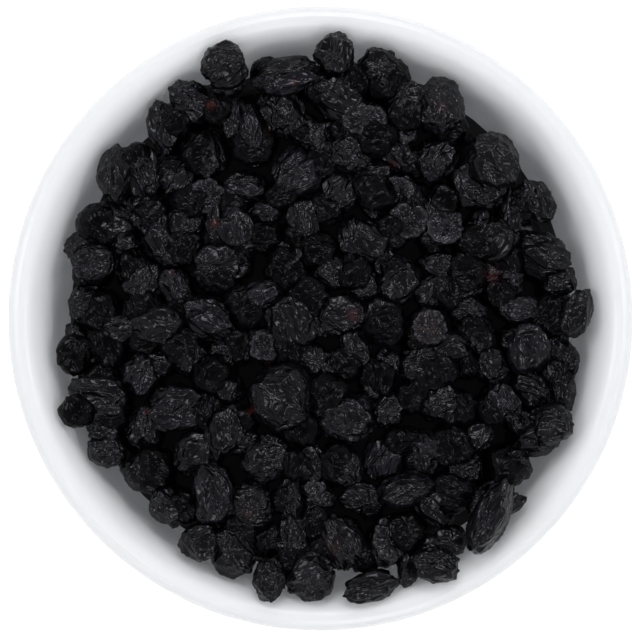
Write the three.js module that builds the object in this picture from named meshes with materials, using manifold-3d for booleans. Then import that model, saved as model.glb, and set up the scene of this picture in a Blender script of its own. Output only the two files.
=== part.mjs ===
// A white porcelain bowl heaped with dried blueberries.
// Millimetres, +Z up. The origin is the centre of the bowl's foot, on the table.

import * as THREE from "three";
import { mergeVertices } from "three/addons/utils/BufferGeometryUtils.js";
import Module from "manifold-3d";

const wasm = await Module();
wasm.setup();

// Driving dimensions of the bowl
const BOWL_DIAMETER = 112;
const BOWL_HEIGHT = 50;
const LIP_RADIUS = 2;
const LIP_TURNS = [-Math.PI / 4, 0, Math.PI / 4];
const FOOT_OUTER_RADIUS = 27;
const FOOT_INNER_RADIUS = 24;
const FOOT_RECESS = 2.6;
const FOOT_INSIDE = [22.8, 2.2];
const FOOT_EDGE = [27.5, 0.6];
const BOWL_SIDES = 64;

// The core under the berries
const GAP_TO_BOWL = 1;
const CORE_TOP = 46.2;
const CORE_FALL = 5;
const CORE_CREEP = 1.3;
const CORE_BOTTOM = 12;
const CORE_SIDES = 20;
const CORE_RINGS = 3;
const CORE_SIDE_ROWS = 4;
const REACH_ROUNDS = 4;

// How the berries lie
const FLATNESS = 0.74;
const SNUGNESS = 0.76;
const SUNK = 0.45;
const WALL_STEPS = 4;
const LARGEST_TILT = 0.35;
const SEED = 20451;

// A form with few sides is made a little larger, so that its flat faces lie where the skin is
const FEW_SIDES = 1.03;
const BERRY_SIDES = 8;
const BERRY_ROWS = 4;
const LARGE_BERRY_ROWS = 5;
const LARGE_BERRY = 9;
const SMALL_BERRY = 7;
const SAME_POINT = 1e-4;

// Berries that fill the gaps between those placed by hand
const FILL_BERRIES = 42;
const FILL_TRIES = 60;
const FILL_SMALLEST = 4.8;
const FILL_LARGEST = 7.8;
const FILL_OVERLAP = 0.6;
const FILL_STRETCH = 0.3;
const FILL_REACH = 47.5;

// The shrivelled form that every berry shares
const LUMP = 0.06;
const LUMP_WAVES = [2.3, 2.7, 2.1];
const DENT_WIDTH = 0.35;
const DENT_LEAN = 0.3;
const DENT_DEPTH = { wrinkled: 0.16, smooth: 0.1, folded: 0.22, crater: 0.3, crown: 0.24 };
const FILL_KINDS = ["wrinkled", "folded", "wrinkled", "smooth", "crown"];

// Inside of the bowl from the crest of the lip down to the floor, as radius and height
const INNER_WALL = [
  [54, 50],
  [52.6, 49.4],
  [51.5, 48.1],
  [50.2, 46],
  [49, 43],
  [48, 39.2],
  [46.8, 33.5],
  [44.6, 27],
  [40.8, 20.5],
  [34, 14],
  [24, 9.3],
  [12, 7.3],
];
const FLOOR_HEIGHT = 7;

// Outside of the bowl from the foot up to the lip
const OUTER_WALL = [
  [27.6, 4.6],
  [33, 7.6],
  [40.5, 13.6],
  [46.4, 21.5],
  [49.7, 29.5],
  [51.2, 36.5],
  [52.4, 42],
  [54.2, 45.6],
];

// Berries placed by hand, as x, y, length, width, heading in degrees and kind.
// First those along the wall, turning left from the right-hand side, then those within.
const WALL_BERRIES = [
  [46.2, 1.2, 9, 5.8, 70, "smooth"],
  [43.3, 7.1, 6.1, 6.1, 0, "wrinkled"],
  [39.5, 12.2, 9.4, 7.2, -20, "folded"],
  [38.8, 20.8, 8.3, 6.1, -52, "wrinkled"],
  [31.2, 28.2, 9.7, 8.6, -45, "smooth"],
  [15.4, 39.7, 6.8, 6.5, 0, "wrinkled"],
  [21.5, 38.3, 9.7, 8.6, 90, "crater"],
  [10.5, 45.6, 7.6, 6.5, 10, "wrinkled"],
  [-5.9, 43.5, 10.8, 6.8, 12, "folded"],
  [2.4, 47.3, 7.6, 7.2, 90, "wrinkled"],
  [-23.1, 39.3, 8.3, 6.8, -35, "wrinkled"],
  [-17.2, 44.8, 8.4, 7.4, 30, "wrinkled"],
  [-28.4, 34.3, 9.7, 5.4, 100, "folded"],
  [-31.8, 26.2, 9.7, 5.8, 100, "folded"],
  [-37.5, 17.4, 8.3, 7.2, 0, "smooth"],
  [-37, 25.8, 10.4, 6.8, 90, "smooth"],
  [-42.2, 13.4, 7.9, 5.8, 25, "wrinkled"],
  [-40.8, 9.8, 7.9, 6.8, 20, "crater"],
  [-42.6, 2.4, 6.8, 6.8, 0, "smooth"],
  [-43.8, -4.2, 7.6, 4.7, 100, "wrinkled"],
  [-39.9, -6, 5.4, 4.7, 0, "crown"],
  [-39.2, -19.7, 6.8, 5, 10, "smooth"],
  [-40.2, -14, 11.2, 8.3, -12, "folded"],
  [-38.3, -23.9, 7.6, 5.8, -15, "crater"],
  [-32.5, -27.8, 6.1, 6.1, 90, "wrinkled"],
  [-27.8, -33.9, 7.6, 5.8, -55, "wrinkled"],
  [-15.9, -41.9, 8.3, 7.2, -60, "wrinkled"],
  [-21.7, -40, 7.9, 7.6, 0, "smooth"],
  [-8.9, -46.5, 7.9, 6.5, 90, "crater"],
  [-1.4, -46.3, 9, 7.8, 45, "folded"],
  [9.1, -47.8, 10.1, 5, 12, "folded"],
  [15.8, -44.6, 5.8, 4.7, 90, "wrinkled"],
  [20.5, -44, 8, 6, -10, "wrinkled"],
  [33, -33.6, 7.4, 3.6, 25, "folded"],
  [30.3, -35, 13.5, 6.5, 66, "smooth"],
  [34.5, -26.4, 7.2, 6.3, -20, "wrinkled"],
  [39.2, -21.9, 7.4, 5.8, 20, "folded"],
  [43.8, -13, 7.6, 5, 100, "smooth"],
  [41.9, -18.8, 7.6, 7.2, 0, "smooth"],
  [44.2, -7.1, 6.5, 4.9, -60, "wrinkled"],
];
const INNER_BERRIES = [
  [-12.7, 34.3, 9.2, 4.7, -78, "smooth"],
  [-6.9, 36.6, 9.4, 8.3, -60, "wrinkled"],
  [20.8, 28.9, 8, 7.2, 60, "wrinkled"],
  [28.4, 24.2, 10.4, 9, -45, "smooth"],
  [-26, 24.8, 6.8, 6.1, 60, "folded"],
  [-20.4, 29.4, 9, 6.5, -75, "folded"],
  [-13.4, 23.7, 8.6, 5.6, -5, "wrinkled"],
  [-4.4, 26.2, 9, 8.1, 30, "smooth"],
  [5.7, 29.8, 8.3, 6.5, -15, "crater"],
  [3.9, 22.8, 8, 6.8, 50, "folded"],
  [14.5, 23.3, 7, 5.8, 0, "crown"],
  [22.4, 16.5, 7.7, 7.2, 0, "crown"],
  [-23.9, 17.4, 7, 6.3, 0, "crater"],
  [-2.8, 17.6, 8, 5.9, 100, "smooth"],
  [21.9, 10, 7.6, 5.2, -5, "folded"],
  [30.9, 8, 5.6, 5.2, 60, "wrinkled"],
  [-32, 6.2, 8.3, 7, 60, "wrinkled"],
  [-25.8, 5.5, 7.6, 6.3, -60, "wrinkled"],
  [-10.4, 3.9, 9, 6.1, 20, "smooth"],
  [-5.5, 11.1, 6.3, 5.6, 0, "crown"],
  [7.3, 5.9, 6.5, 6.1, 0, "wrinkled"],
  [20.4, 5, 6.8, 6.1, 45, "folded"],
  [26.9, 1, 6.5, 5.9, 0, "wrinkled"],
  [36.6, 1.7, 7.9, 5.6, 0, "crater"],
  [-36.5, -1.7, 7.3, 6.1, 0, "folded"],
  [-20.3, 0.3, 9.9, 8.3, -35, "folded"],
  [-5.5, -0.8, 10.1, 9, -60, "folded"],
  [19.2, -1.4, 7.6, 6.3, 0, "crown"],
  [-23.5, -6.8, 8, 6.2, 100, "wrinkled"],
  [-17.4, -6.4, 6.1, 5.6, 0, "crater"],
  [-10.5, -5, 6.6, 6, -40, "crown"],
  [6.4, -5.9, 7.7, 6.1, -60, "smooth"],
  [18.3, -8.4, 7.9, 7.2, 0, "wrinkled"],
  [30.3, -8.6, 6.6, 6.3, -45, "smooth"],
  [38.4, -12.5, 7.6, 7, -30, "wrinkled"],
  [-16.5, -12.7, 5.8, 5.4, 90, "smooth"],
  [12.3, -16.5, 6.8, 6.3, 45, "wrinkled"],
  [21.2, -15, 8.1, 7.6, 20, "smooth"],
  [32.9, -15, 8.3, 5.6, -55, "folded"],
  [-26, -16.1, 11.2, 8.8, 10, "folded"],
  [4.4, -18.3, 9.4, 9, 0, "crater"],
  [-6.6, -14, 13.4, 12.1, -30, "smooth"],
  [11.1, -25.5, 7.2, 6, 60, "folded"],
  [-1.5, -26, 6.6, 5.2, 110, "wrinkled"],
  [26.2, -26.9, 7, 5.4, -10, "crater"],
  [-5.5, -32.7, 9, 5, 95, "wrinkled"],
  [7.3, -32.1, 7, 6.1, 0, "wrinkled"],
  [21, -33.9, 7.9, 6.8, -40, "folded"],
  [15.8, -31, 10.1, 6.5, 10, "smooth"],
  [-12.7, -33.8, 8.3, 7.6, 0, "crater"],
  [-19, -32.1, 11.9, 7.7, 95, "smooth"],
  [3.9, -40, 11.2, 7.9, -55, "folded"],
];

// Low berries that carry those lying high on the wall
const CARRYING_BERRIES = [
  [40.2, -18.2, 6.2, 5.6, 30, "wrinkled"],
  [19.6, -42.2, 6.4, 5.8, -20, "wrinkled"],
  [29.4, -33.6, 6.6, 6, 60, "wrinkled"],
  [-16.6, 42.6, 6.6, 6, 0, "wrinkled"],
  [43.4, 1.4, 6.2, 5.8, 90, "wrinkled"],
];

// Seeded draws between 0 and 1
const DRAW_FACTOR = 16807;
const DRAW_MODULUS = 2147483647;
let drawState = SEED;
function draw() {
  drawState = (drawState * DRAW_FACTOR) % DRAW_MODULUS;
  return drawState / DRAW_MODULUS;
}

function drawBetween(low, high) {
  return low + (high - low) * draw();
}

// Radius of the bowl's inside at a height
function wallRadius(z) {
  const upper = INNER_WALL.findIndex(([, height]) => height <= z);
  if (upper === 0) return INNER_WALL[0][0];
  if (upper < 0) return INNER_WALL.at(-1)[0];
  const [r1, z1] = INNER_WALL[upper - 1];
  const [r2, z2] = INNER_WALL[upper];
  return r2 + ((r1 - r2) * (z - z2)) / (z1 - z2);
}

// Height of the bowl's inside at a radius
function wallHeight(r) {
  const inner = INNER_WALL.findIndex(([radius]) => radius <= r);
  if (inner === 0) return BOWL_HEIGHT;
  if (inner < 0) return FLOOR_HEIGHT;
  const [r1, z1] = INNER_WALL[inner - 1];
  const [r2, z2] = INNER_WALL[inner];
  return z2 + ((z1 - z2) * (r - r2)) / (r1 - r2);
}

// Height of the core, a broad ridge that falls to the left and right and creeps up at the wall
function coreHeight(x, y) {
  const share = (x * x + y * y) / FILL_REACH ** 2;
  return CORE_TOP - CORE_FALL * (x / FILL_REACH) ** 2 + CORE_CREEP * share ** 3;
}

// Radius at which the core meets the wall in a direction, closer with every round
function coreReach(angle) {
  let r = FILL_REACH;
  for (let round = 0; round < REACH_ROUNDS; round++) {
    r = wallRadius(coreHeight(r * Math.cos(angle), r * Math.sin(angle))) - GAP_TO_BOWL;
  }
  return r;
}

// Lowest height of a berry's centre at which its side clears the bowl's wall
function heightAtWall(r, reach, half) {
  let height = 0;
  for (let step = 0; step <= WALL_STEPS; step++) {
    const angle = ((step / WALL_STEPS) * Math.PI) / 2;
    const touched = wallHeight(r + reach * Math.cos(angle) + GAP_TO_BOWL);
    height = Math.max(height, touched + half * Math.sin(angle));
  }
  return height;
}

// How far a berry reaches from its middle in a direction, seen from above
function reachTowards(berry, direction) {
  const turn = direction - berry.heading;
  return Math.hypot((berry.length / 2) * Math.cos(turn), (berry.width / 2) * Math.sin(turn));
}

// Lets a berry down until it lies on the core, the wall or the berries before it
function letDown(berry, placed) {
  const { x, y, half } = berry;
  const toWall = heightAtWall(Math.hypot(x, y), reachTowards(berry, Math.atan2(y, x)), half);
  let z = Math.max(coreHeight(x, y) + SUNK * half, toWall);
  for (const other of placed) {
    const direction = Math.atan2(other.y - y, other.x - x);
    const reach = SNUGNESS * (reachTowards(berry, direction) + reachTowards(other, direction));
    const apart = Math.hypot(x - other.x, y - other.y);
    if (apart < reach) {
      const rise = SNUGNESS * (half + other.half) * Math.sqrt(1 - (apart / reach) ** 2);
      z = Math.max(z, other.z + rise);
    }
  }
  return { ...berry, z };
}

// A berry's size, the way it lies, the phases of its lumps and the lean of its dent
function makeBerry(x, y, length, width, heading, kind) {
  const radius = (length + width) / 4;
  return {
    x,
    y,
    length,
    width,
    kind,
    radius,
    half: FLATNESS * radius,
    heading: THREE.MathUtils.degToRad(heading),
    tilts: [drawBetween(-LARGEST_TILT, LARGEST_TILT), drawBetween(-LARGEST_TILT, LARGEST_TILT)],
    phases: LUMP_WAVES.map(() => drawBetween(0, 2 * Math.PI)),
    dent: [drawBetween(-DENT_LEAN, DENT_LEAN), drawBetween(-DENT_LEAN, DENT_LEAN)],
  };
}

// The free space round a point, measured to the nearest berry's side
function clearance(x, y, berries) {
  let free = FILL_REACH - Math.hypot(x, y);
  for (const berry of berries) {
    free = Math.min(free, Math.hypot(x - berry.x, y - berry.y) - berry.radius);
  }
  return free;
}

// Fills the widest gaps one after another
function fillBerries(landmarks) {
  const fill = [];
  for (let i = 0; i < FILL_BERRIES; i++) {
    let best = { free: -Infinity };
    for (let t = 0; t < FILL_TRIES; t++) {
      const r = FILL_REACH * Math.sqrt(draw());
      const angle = drawBetween(0, 2 * Math.PI);
      const x = r * Math.cos(angle);
      const y = r * Math.sin(angle);
      const free = clearance(x, y, [...landmarks, ...fill]);
      if (free > best.free) best = { free, x, y };
    }
    const fitting = 2 * (best.free + FILL_OVERLAP);
    const width = THREE.MathUtils.clamp(fitting, FILL_SMALLEST, FILL_LARGEST);
    const length = width * drawBetween(1, 1 + FILL_STRETCH);
    const kind = FILL_KINDS[Math.floor(FILL_KINDS.length * draw())];
    const heading = drawBetween(0, 360);
    fill.push({ ...makeBerry(best.x, best.y, length, width, heading, kind), low: true });
  }
  return fill;
}

// All the berries where they lie: the filling ones in the core, and the hand-placed ones on them
function heapBerries() {
  const landmarks = [...INNER_BERRIES, ...WALL_BERRIES].map((row) => makeBerry(...row));
  const carrying = CARRYING_BERRIES.map((row) => ({ ...makeBerry(...row), low: true }));
  const placed = [...carrying, ...fillBerries(landmarks)].map((berry) => letDown(berry, []));
  for (const berry of landmarks) {
    placed.push(letDown(berry, placed));
  }
  return placed;
}

// How far a berry's skin stands out in a direction, as a share of its plain radius
function skin(n, { phases, dent, kind }) {
  const waves = n.toArray().map((along, i) => Math.sin(LUMP_WAVES[i] * along + phases[i]));
  const lumps = waves[0] + waves[1] + waves[2];
  const dentAxis = new THREE.Vector3(dent[0], dent[1], 1).normalize();
  const intoDent = Math.exp((n.dot(dentAxis) - 1) / DENT_WIDTH ** 2);
  return 1 + LUMP * lumps - DENT_DEPTH[kind] * intoDent;
}

// Few sides, and fewer on a smaller berry or on one that others cover
function roundForm({ low, length }) {
  if (low || length < SMALL_BERRY) return new THREE.OctahedronGeometry(1, 1);
  const rows = length < LARGE_BERRY ? BERRY_ROWS : LARGE_BERRY_ROWS;
  return new THREE.SphereGeometry(1, BERRY_SIDES, rows);
}

// One shrivelled berry
function berryGeometry(berry) {
  const geometry = roundForm(berry);
  const position = geometry.attributes.position;
  const n = new THREE.Vector3();
  for (let i = 0; i < position.count; i++) {
    n.fromBufferAttribute(position, i).normalize();
    n.multiplyScalar(skin(n, berry));
    position.setXYZ(i, n.x, n.y, n.z);
  }
  const pose = new THREE.Euler(berry.tilts[0], berry.tilts[1], berry.heading, "ZYX");
  const outward = 0.5 * FEW_SIDES;
  geometry.scale(outward * berry.length, outward * berry.width, 2 * outward * berry.half);
  geometry.applyMatrix4(new THREE.Matrix4().makeRotationFromEuler(pose));
  geometry.translate(berry.x, berry.y, berry.z);
  return geometry;
}

// The core under the berries: rings of points on top, then rows down along the wall
function coreGeometry() {
  const points = [];
  const faces = [];
  const rows = CORE_RINGS + CORE_SIDE_ROWS;
  for (let row = 1; row <= rows; row++) {
    for (let side = 0; side < CORE_SIDES; side++) {
      const angle = (2 * Math.PI * side) / CORE_SIDES;
      points.push(...corePoint(row, angle));
    }
  }
  const top = rows * CORE_SIDES;
  const bottom = top + 1;
  points.push(0, 0, CORE_TOP, 0, 0, CORE_BOTTOM);
  for (let side = 0; side < CORE_SIDES; side++) {
    const next = (side + 1) % CORE_SIDES;
    faces.push(top, side, next);
    for (let row = 0; row < rows - 1; row++) {
      const a = row * CORE_SIDES + side;
      const b = row * CORE_SIDES + next;
      faces.push(a, a + CORE_SIDES, b, b, a + CORE_SIDES, b + CORE_SIDES);
    }
    const last = (rows - 1) * CORE_SIDES;
    faces.push(bottom, last + next, last + side);
  }
  const geometry = new THREE.BufferGeometry();
  geometry.setAttribute("position", new THREE.Float32BufferAttribute(points, 3));
  geometry.setIndex(faces);
  return geometry;
}

function corePoint(row, angle) {
  const edgeRadius = coreReach(angle);
  if (row <= CORE_RINGS) {
    const r = (edgeRadius * row) / CORE_RINGS;
    const x = r * Math.cos(angle);
    const y = r * Math.sin(angle);
    return [x, y, coreHeight(x, y)];
  }
  const edgeHeight = coreHeight(edgeRadius * Math.cos(angle), edgeRadius * Math.sin(angle));
  const down = (row - CORE_RINGS) / CORE_SIDE_ROWS;
  const z = edgeHeight + (CORE_BOTTOM - edgeHeight) * down;
  const r = wallRadius(z) - GAP_TO_BOWL;
  return [r * Math.cos(angle), r * Math.sin(angle), z];
}

// Closed meshes to solids and back
function solidOf(geometry) {
  const bare = geometry.clone();
  bare.deleteAttribute("normal");
  bare.deleteAttribute("uv");
  const merged = mergeVertices(bare, SAME_POINT);
  return new wasm.Manifold(
    new wasm.Mesh({
      numProp: 3,
      vertProperties: merged.attributes.position.array,
      triVerts: new Uint32Array(merged.index.array),
    }),
  );
}

function geometryOf(solid) {
  const mesh = solid.getMesh();
  const geometry = new THREE.BufferGeometry();
  geometry.setAttribute("position", new THREE.BufferAttribute(mesh.vertProperties, 3));
  geometry.setIndex(new THREE.BufferAttribute(mesh.triVerts, 1));
  geometry.computeVertexNormals();
  return geometry;
}

// The berries and their core as one solid, without scraps that touch nothing
function heapGeometry() {
  let heap = solidOf(coreGeometry());
  for (const berry of heapBerries()) {
    heap = heap.add(solidOf(berryGeometry(berry)));
  }
  const bodies = heap.decompose().sort((a, b) => b.volume() - a.volume());
  return geometryOf(bodies[0]);
}

// The bowl's section, from the middle of the foot's recess round the lip to the middle of the floor
function bowlSection() {
  const lipCentre = new THREE.Vector2(BOWL_DIAMETER / 2 - LIP_RADIUS, BOWL_HEIGHT - LIP_RADIUS);
  const foot = [
    [0, FOOT_RECESS],
    FOOT_INSIDE,
    [FOOT_INNER_RADIUS, 0],
    [FOOT_OUTER_RADIUS, 0],
    FOOT_EDGE,
  ];
  const lip = LIP_TURNS.map((turn) => [
    lipCentre.x + LIP_RADIUS * Math.cos(turn),
    lipCentre.y + LIP_RADIUS * Math.sin(turn),
  ]);
  const rows = [...foot, ...OUTER_WALL, ...lip, ...INNER_WALL, [0, FLOOR_HEIGHT]];
  return rows.map(([r, z]) => new THREE.Vector2(r, z));
}

function bowlGeometry() {
  const geometry = new THREE.LatheGeometry(bowlSection(), BOWL_SIDES);
  return geometry.rotateX(Math.PI / 2);
}

function namedMesh(name, geometry, material) {
  const mesh = new THREE.Mesh(geometry, material);
  mesh.name = name;
  return mesh;
}

const porcelain = new THREE.MeshStandardMaterial({ color: 0xf2f3f5, roughness: 0.12, metalness: 0 });
const berrySkin = new THREE.MeshStandardMaterial({ color: 0x1a191d, roughness: 0.5, metalness: 0 });

const bowlOfBerries = new THREE.Group();
bowlOfBerries.add(namedMesh("bowl", bowlGeometry(), porcelain));
bowlOfBerries.add(namedMesh("dried_blueberries", heapGeometry(), berrySkin));

export default bowlOfBerries;
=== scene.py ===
# A white porcelain bowl heaped with dried blueberries, seen from straight above.
# Sizes of the bowl and the berries are in millimetres; what goes to Blender is in metres.

import math

import bpy
import numpy as np
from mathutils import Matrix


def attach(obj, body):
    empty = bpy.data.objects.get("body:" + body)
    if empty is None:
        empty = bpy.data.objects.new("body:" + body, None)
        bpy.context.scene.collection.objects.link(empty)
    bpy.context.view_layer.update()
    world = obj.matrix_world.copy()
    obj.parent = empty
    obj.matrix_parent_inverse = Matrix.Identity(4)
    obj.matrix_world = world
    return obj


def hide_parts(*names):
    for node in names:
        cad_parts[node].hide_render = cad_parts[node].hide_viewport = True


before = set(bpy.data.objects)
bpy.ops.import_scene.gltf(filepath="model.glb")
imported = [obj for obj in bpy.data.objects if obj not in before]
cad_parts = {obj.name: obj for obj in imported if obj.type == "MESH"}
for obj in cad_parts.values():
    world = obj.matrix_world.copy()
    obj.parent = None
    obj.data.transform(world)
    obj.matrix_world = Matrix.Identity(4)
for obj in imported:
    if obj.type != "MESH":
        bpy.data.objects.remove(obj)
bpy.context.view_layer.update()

MM = 0.001

# The bowl
BOWL_DIAMETER = 112
BOWL_HEIGHT = 50
LIP_RADIUS = 2
FLOOR_HEIGHT = 7
BOWL_SIDES = 192
STEPS_BETWEEN_ROWS = 4

# Radius of the tiny flat ends of the turned section at the axis
END_RADIUS = 0.01

# Inside of the bowl from the crest of the lip down to the floor, as radius and height
INNER_WALL = [
    (54, 50), (52.6, 49.4), (51.5, 48.1), (50.2, 46), (49, 43), (48, 39.2), (46.8, 33.5),
    (44.6, 27), (40.8, 20.5), (34, 14), (24, 9.3), (12, 7.3),
]

# The top of that wall as the thick glaze rounds it, at most 0.6 mm above it
GLAZED_WALL = [(54, 50), (52.7, 49.6), (51.5, 48.6), (50.2, 46.6), (49, 43.5), (48, 39.5)]

# Foot from the middle of its recess, over the ring that it stands on, up to the outer wall
FOOT = [
    (END_RADIUS, 2.6), (8, 2.6), (16, 2.6), (21.6, 2.5), (22.8, 2.2), (23.4, 1.2), (23.8, 0.3),
    (24.3, 0), (25.5, 0), (26.7, 0), (27.3, 0.3), (27.6, 1.2), (27.5, 2.6), (27.6, 4), (28.4, 5.1),
]

# Outside of the bowl from the foot up to the lip
OUTER_WALL = [
    (33, 7.6), (40.5, 13.6), (46.4, 21.5), (49.7, 29.5), (51.2, 36.5), (52.4, 42), (54.2, 45.6),
]

# The round lip, from where the outer wall ends to where the inner one begins
LIP_START = -math.pi / 4
LIP_END = math.pi * 0.45
LIP_ROWS = 10

# How the berries lie: their gap to the bowl and the form of the core that carries them, then how
# flat they are, how snugly they press together, how high their middles are over the core as a
# share of their half height, in how many steps the wall is felt for, and how far they lean
GAP_TO_BOWL = 1
CORE_TOP = 46.2
CORE_FALL = 5
CORE_CREEP = 1.3
FLATNESS = 0.74
SNUGNESS = 0.76
SUNK = 0.45
WALL_STEPS = 4
LARGEST_TILT = 0.35
SEED = 20451

# Berries that fill the gaps between those listed below
FILL_BERRIES = 42
FILL_TRIES = 60
FILL_SMALLEST = 4.8
FILL_LARGEST = 7.8
FILL_OVERLAP = 0.6
FILL_STRETCH = 0.3
FILL_REACH = 47.5

# The shrivelled form that every berry shares
LUMP = 0.06
LUMP_WAVES = (2.3, 2.7, 2.1)
DENT_WIDTH = 0.35
DENT_LEAN = 0.3
DENT_DEPTH = {"wrinkled": 0.16, "smooth": 0.1, "folded": 0.22, "crater": 0.3, "crown": 0.24}
FILL_KINDS = ("wrinkled", "folded", "wrinkled", "smooth", "crown")

# Berries placed one by one, as x, y, length, width, heading in degrees and kind.
# First those along the wall, turning left from the right-hand side, then those within.
WALL_BERRIES = [
    (46.2, 1.2, 9, 5.8, 70, "smooth"),
    (43.3, 7.1, 6.1, 6.1, 0, "wrinkled"),
    (39.5, 12.2, 9.4, 7.2, -20, "folded"),
    (38.8, 20.8, 8.3, 6.1, -52, "wrinkled"),
    (31.2, 28.2, 9.7, 8.6, -45, "smooth"),
    (15.4, 39.7, 6.8, 6.5, 0, "wrinkled"),
    (21.5, 38.3, 9.7, 8.6, 90, "crater"),
    (10.5, 45.6, 7.6, 6.5, 10, "wrinkled"),
    (-5.9, 43.5, 10.8, 6.8, 12, "folded"),
    (2.4, 47.3, 7.6, 7.2, 90, "wrinkled"),
    (-23.1, 39.3, 8.3, 6.8, -35, "wrinkled"),
    (-17.2, 44.8, 8.4, 7.4, 30, "wrinkled"),
    (-28.4, 34.3, 9.7, 5.4, 100, "folded"),
    (-31.8, 26.2, 9.7, 5.8, 100, "folded"),
    (-37.5, 17.4, 8.3, 7.2, 0, "smooth"),
    (-37, 25.8, 10.4, 6.8, 90, "smooth"),
    (-42.2, 13.4, 7.9, 5.8, 25, "wrinkled"),
    (-40.8, 9.8, 7.9, 6.8, 20, "crater"),
    (-42.6, 2.4, 6.8, 6.8, 0, "smooth"),
    (-43.8, -4.2, 7.6, 4.7, 100, "wrinkled"),
    (-39.9, -6, 5.4, 4.7, 0, "crown"),
    (-39.2, -19.7, 6.8, 5, 10, "smooth"),
    (-40.2, -14, 11.2, 8.3, -12, "folded"),
    (-38.3, -23.9, 7.6, 5.8, -15, "crater"),
    (-32.5, -27.8, 6.1, 6.1, 90, "wrinkled"),
    (-27.8, -33.9, 7.6, 5.8, -55, "wrinkled"),
    (-15.9, -41.9, 8.3, 7.2, -60, "wrinkled"),
    (-21.7, -40, 7.9, 7.6, 0, "smooth"),
    (-8.9, -46.5, 7.9, 6.5, 90, "crater"),
    (-1.4, -46.3, 9, 7.8, 45, "folded"),
    (9.1, -47.8, 10.1, 5, 12, "folded"),
    (15.8, -44.6, 5.8, 4.7, 90, "wrinkled"),
    (20.5, -44, 8, 6, -10, "wrinkled"),
    (33, -33.6, 7.4, 3.6, 25, "folded"),
    (30.3, -35, 13.5, 6.5, 66, "smooth"),
    (34.5, -26.4, 7.2, 6.3, -20, "wrinkled"),
    (39.2, -21.9, 7.4, 5.8, 20, "folded"),
    (43.8, -13, 7.6, 5, 100, "smooth"),
    (41.9, -18.8, 7.6, 7.2, 0, "smooth"),
    (44.2, -7.1, 6.5, 4.9, -60, "wrinkled"),
]
INNER_BERRIES = [
    (-12.7, 34.3, 9.2, 4.7, -78, "smooth"),
    (-6.9, 36.6, 9.4, 8.3, -60, "wrinkled"),
    (20.8, 28.9, 8, 7.2, 60, "wrinkled"),
    (28.4, 24.2, 10.4, 9, -45, "smooth"),
    (-26, 24.8, 6.8, 6.1, 60, "folded"),
    (-20.4, 29.4, 9, 6.5, -75, "folded"),
    (-13.4, 23.7, 8.6, 5.6, -5, "wrinkled"),
    (-4.4, 26.2, 9, 8.1, 30, "smooth"),
    (5.7, 29.8, 8.3, 6.5, -15, "crater"),
    (3.9, 22.8, 8, 6.8, 50, "folded"),
    (14.5, 23.3, 7, 5.8, 0, "crown"),
    (22.4, 16.5, 7.7, 7.2, 0, "crown"),
    (-23.9, 17.4, 7, 6.3, 0, "crater"),
    (-2.8, 17.6, 8, 5.9, 100, "smooth"),
    (21.9, 10, 7.6, 5.2, -5, "folded"),
    (30.9, 8, 5.6, 5.2, 60, "wrinkled"),
    (-32, 6.2, 8.3, 7, 60, "wrinkled"),
    (-25.8, 5.5, 7.6, 6.3, -60, "wrinkled"),
    (-10.4, 3.9, 9, 6.1, 20, "smooth"),
    (-5.5, 11.1, 6.3, 5.6, 0, "crown"),
    (7.3, 5.9, 6.5, 6.1, 0, "wrinkled"),
    (20.4, 5, 6.8, 6.1, 45, "folded"),
    (26.9, 1, 6.5, 5.9, 0, "wrinkled"),
    (36.6, 1.7, 7.9, 5.6, 0, "crater"),
    (-36.5, -1.7, 7.3, 6.1, 0, "folded"),
    (-20.3, 0.3, 9.9, 8.3, -35, "folded"),
    (-5.5, -0.8, 10.1, 9, -60, "folded"),
    (19.2, -1.4, 7.6, 6.3, 0, "crown"),
    (-23.5, -6.8, 8, 6.2, 100, "wrinkled"),
    (-17.4, -6.4, 6.1, 5.6, 0, "crater"),
    (-10.5, -5, 6.6, 6, -40, "crown"),
    (6.4, -5.9, 7.7, 6.1, -60, "smooth"),
    (18.3, -8.4, 7.9, 7.2, 0, "wrinkled"),
    (30.3, -8.6, 6.6, 6.3, -45, "smooth"),
    (38.4, -12.5, 7.6, 7, -30, "wrinkled"),
    (-16.5, -12.7, 5.8, 5.4, 90, "smooth"),
    (12.3, -16.5, 6.8, 6.3, 45, "wrinkled"),
    (21.2, -15, 8.1, 7.6, 20, "smooth"),
    (32.9, -15, 8.3, 5.6, -55, "folded"),
    (-26, -16.1, 11.2, 8.8, 10, "folded"),
    (4.4, -18.3, 9.4, 9, 0, "crater"),
    (-6.6, -14, 13.4, 12.1, -30, "smooth"),
    (11.1, -25.5, 7.2, 6, 60, "folded"),
    (-1.5, -26, 6.6, 5.2, 110, "wrinkled"),
    (26.2, -26.9, 7, 5.4, -10, "crater"),
    (-5.5, -32.7, 9, 5, 95, "wrinkled"),
    (7.3, -32.1, 7, 6.1, 0, "wrinkled"),
    (21, -33.9, 7.9, 6.8, -40, "folded"),
    (15.8, -31, 10.1, 6.5, 10, "smooth"),
    (-12.7, -33.8, 8.3, 7.6, 0, "crater"),
    (-19, -32.1, 11.9, 7.7, 95, "smooth"),
    (3.9, -40, 11.2, 7.9, -55, "folded"),
]

# Low berries that carry those lying high on the wall
CARRYING_BERRIES = [
    (40.2, -18.2, 6.2, 5.6, 30, "wrinkled"),
    (19.6, -42.2, 6.4, 5.8, -20, "wrinkled"),
    (29.4, -33.6, 6.6, 6, 60, "wrinkled"),
    (-16.6, 42.6, 6.6, 6, 0, "wrinkled"),
    (43.4, 1.4, 6.2, 5.8, 90, "wrinkled"),
]

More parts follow.
